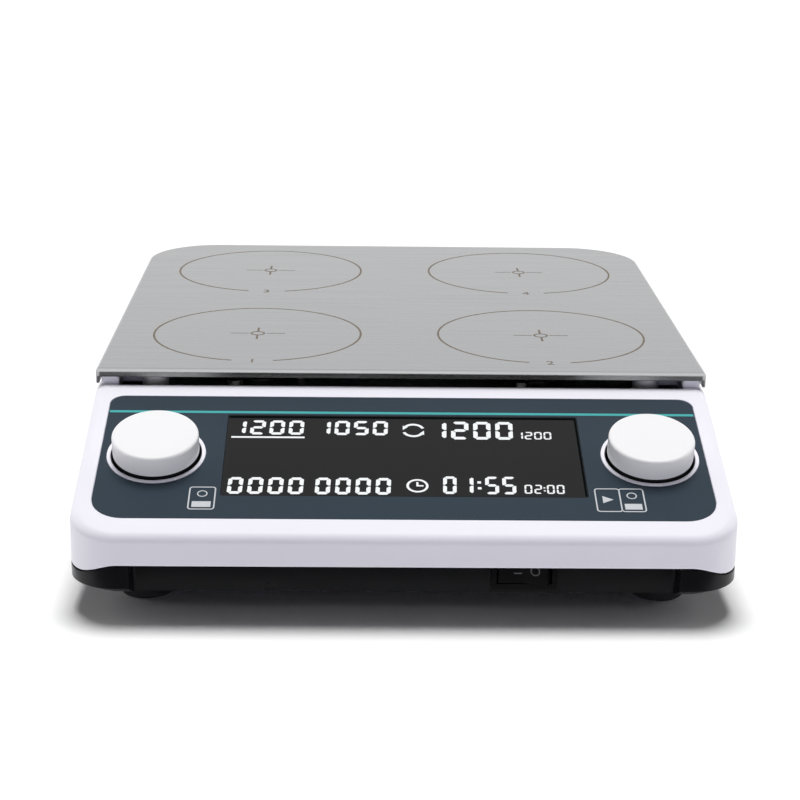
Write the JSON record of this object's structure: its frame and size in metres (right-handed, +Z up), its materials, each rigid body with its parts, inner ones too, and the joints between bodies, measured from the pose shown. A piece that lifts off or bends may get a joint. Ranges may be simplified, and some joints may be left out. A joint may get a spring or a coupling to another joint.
{
  "type": "multi-position magnetic stirrer",
  "caption": "Low bench stirrer with a brushed steel plate marked with stirring positions, a sloping control panel with a wide display and push knobs, and a rocker switch under its front lip.",
  "frame": {"origin": "middle of the footprint, on the bench under the feet", "axes": "+Z up; +Y from the control panel to the back; +X to the user's right"},
  "size_m": [0.214, 0.29, 0.06],
  "materials": {
    "white_shell": "fine satin moulded ABS, soft sheen",
    "charcoal_shell": "charcoal moulded ABS, light spark texture",
    "brushed_plate": "stainless sheet brushed from side to side",
    "panel_print": "dark slate blue printed film, satin",
    "display_lens": "smoked lens over a dark segment display",
    "white_knob": "plain white satin plastic",
    "black_switch": "black nylon",
    "black_plastic": "black moulded plastic",
    "circuit_board": "green solder mask",
    "ribbon": "grey flat cable",
    "fastener_steel": "zinc plated",
    "turned_steel": "turned bright steel",
    "encoder_alloy": "die-cast alloy",
    "deck_steel": "black coated steel sheet",
    "motor_steel": "coated steel can",
    "magnet_nickel": "nickel plated magnet",
    "foot_rubber": "black soft rubber"
  },
  "bodies": {
    "base": {"upper_housing": "white_shell", "base_housing": "charcoal_shell", "top_plate": "brushed_plate", "panel_overlay": "panel_print", "display_window": "display_lens", "switch_body": "black_switch", "display_module": "black_plastic", "buzzer": "black_plastic", "supply_inlet": "black_plastic", "control_board": "circuit_board", "driver_board": "circuit_board", "ribbon_cable": "ribbon", "plate_nuts": "fastener_steel", "control_board_screws": "fastener_steel", "driver_board_screws": "fastener_steel", "motor_screws": "fastener_steel", "deck_screws": "fastener_steel", "housing_screws": "fastener_steel", "supply_inlet_nut": "fastener_steel", "left_encoder_nut": "fastener_steel", "right_encoder_nut": "fastener_steel", "plate_spacers": "turned_steel", "motor_bearings": "turned_steel", "left_encoder_body": "encoder_alloy", "right_encoder_body": "encoder_alloy", "motor_deck": "deck_steel", "stir_motor_1": "motor_steel", "stir_motor_2": "motor_steel", "stir_motor_3": "motor_steel", "stir_motor_4": "motor_steel", "foot_1": "foot_rubber", "foot_2": "foot_rubber", "foot_3": "foot_rubber", "foot_4": "foot_rubber"},
    "left_dial": {"left_encoder_rotor": "black_plastic"},
    "left_knob": {"left_knob": "white_knob", "left_encoder_shaft": "turned_steel"},
    "right_dial": {"right_encoder_rotor": "black_plastic"},
    "right_knob": {"right_knob": "white_knob", "right_encoder_shaft": "turned_steel"},
    "power_rocker": {"switch_rocker": "black_switch"},
    "stir_1": {"motor_shaft_1": "turned_steel", "motor_rotor_1": "motor_steel", "magnet_holder_1": "black_plastic", "stir_magnets_1": "magnet_nickel"},
    "stir_2": {"motor_shaft_2": "turned_steel", "motor_rotor_2": "motor_steel", "magnet_holder_2": "black_plastic", "stir_magnets_2": "magnet_nickel"},
    "stir_3": {"motor_shaft_3": "turned_steel", "motor_rotor_3": "motor_steel", "magnet_holder_3": "black_plastic", "stir_magnets_3": "magnet_nickel"},
    "stir_4": {"motor_shaft_4": "turned_steel", "motor_rotor_4": "motor_steel", "magnet_holder_4": "black_plastic", "stir_magnets_4": "magnet_nickel"}
  },
  "joints": [
    {"name": "left_knob_turn", "type": "hinge", "parent": "base", "child": "left_dial", "pos_m": [-0.082, -0.10263, 0.04204], "axis": [0, -0.3003, 0.9538], "continuous": true},
    {"name": "left_knob_push", "type": "slide", "parent": "left_dial", "child": "left_knob", "axis": [0, 0.3003, -0.9538], "range_m": [0, 0.0008], "stiffness_N_per_m": 2500, "springref_m": -0.001},
    {"name": "right_knob_turn", "type": "hinge", "parent": "base", "child": "right_dial", "pos_m": [0.082, -0.10263, 0.04204], "axis": [0, -0.3003, 0.9538], "continuous": true},
    {"name": "right_knob_push", "type": "slide", "parent": "right_dial", "child": "right_knob", "axis": [0, 0.3003, -0.9538], "range_m": [0, 0.0008], "stiffness_N_per_m": 2500, "springref_m": -0.001},
    {"name": "power_switch", "type": "hinge", "parent": "base", "child": "power_rocker", "pos_m": [0.0383, -0.135, 0.016], "axis": [0, 0, 1], "range_deg": [0, 20]},
    {"name": "stir_1_spin", "type": "hinge", "parent": "base", "child": "stir_1", "pos_m": [-0.053, -0.013, 0.05], "axis": [0, 0, 1], "continuous": true},
    {"name": "stir_2_spin", "type": "hinge", "parent": "base", "child": "stir_2", "pos_m": [0.053, -0.013, 0.05], "axis": [0, 0, 1], "continuous": true},
    {"name": "stir_3_spin", "type": "hinge", "parent": "base", "child": "stir_3", "pos_m": [-0.053, 0.093, 0.05], "axis": [0, 0, 1], "continuous": true},
    {"name": "stir_4_spin", "type": "hinge", "parent": "base", "child": "stir_4", "pos_m": [0.053, 0.093, 0.05], "axis": [0, 0, 1], "continuous": true}
  ]
}
